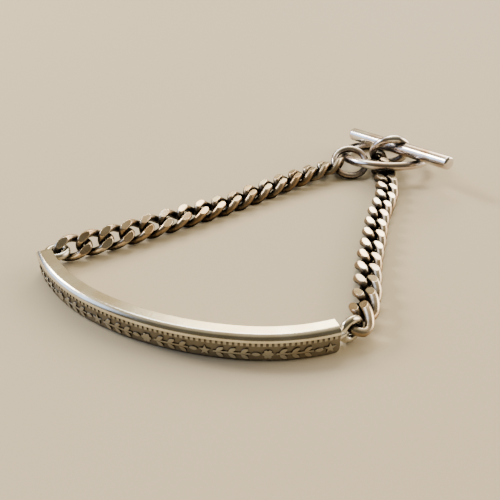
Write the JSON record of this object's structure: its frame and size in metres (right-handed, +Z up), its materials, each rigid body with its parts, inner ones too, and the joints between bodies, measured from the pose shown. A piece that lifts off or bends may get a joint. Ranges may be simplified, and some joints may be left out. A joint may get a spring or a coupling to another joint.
{
  "type": "coin charm bracelet",
  "caption": "Silver bracelet lying flat: a curved bar cut from a coin's rim, curb chain links to either side, and a T-bar passed through a round toggle ring.",
  "frame": {"origin": "centre of the whole bracelet's footprint, at the height of the surface that it lies on", "axes": "+Z up from the surface; the bar lies on the -Y side with its relief facing -Y, and the clasp lies on the +X +Y side"},
  "size_m": [0.0776, 0.0752, 0.0086],
  "materials": {
    "bar_silver": "satin",
    "chain_silver": "polished",
    "clasp_silver": "polished"
  },
  "bodies": {
    "root": {"coin_bar": "bar_silver", "link_left_01": "chain_silver", "link_left_02": "chain_silver", "link_left_03": "chain_silver", "link_left_04": "chain_silver", "link_left_05": "chain_silver", "link_left_06": "chain_silver", "link_left_07": "chain_silver", "link_left_08": "chain_silver", "link_left_09": "chain_silver", "link_left_10": "chain_silver", "link_left_11": "chain_silver", "link_left_12": "chain_silver", "link_left_13": "chain_silver", "link_left_14": "chain_silver", "link_left_15": "chain_silver", "link_left_16": "chain_silver", "link_right_01": "chain_silver", "link_right_02": "chain_silver", "link_right_03": "chain_silver", "link_right_04": "chain_silver", "link_right_05": "chain_silver", "link_right_06": "chain_silver", "link_right_07": "chain_silver", "link_right_08": "chain_silver", "link_right_09": "chain_silver", "link_right_10": "chain_silver", "link_right_11": "chain_silver", "link_right_12": "chain_silver", "link_right_13": "chain_silver", "link_right_14": "chain_silver", "link_right_15": "chain_silver", "link_right_16": "chain_silver", "jump_ring": "clasp_silver", "toggle_ring": "clasp_silver", "t_bar": "clasp_silver"}
  },
  "joints": []
}
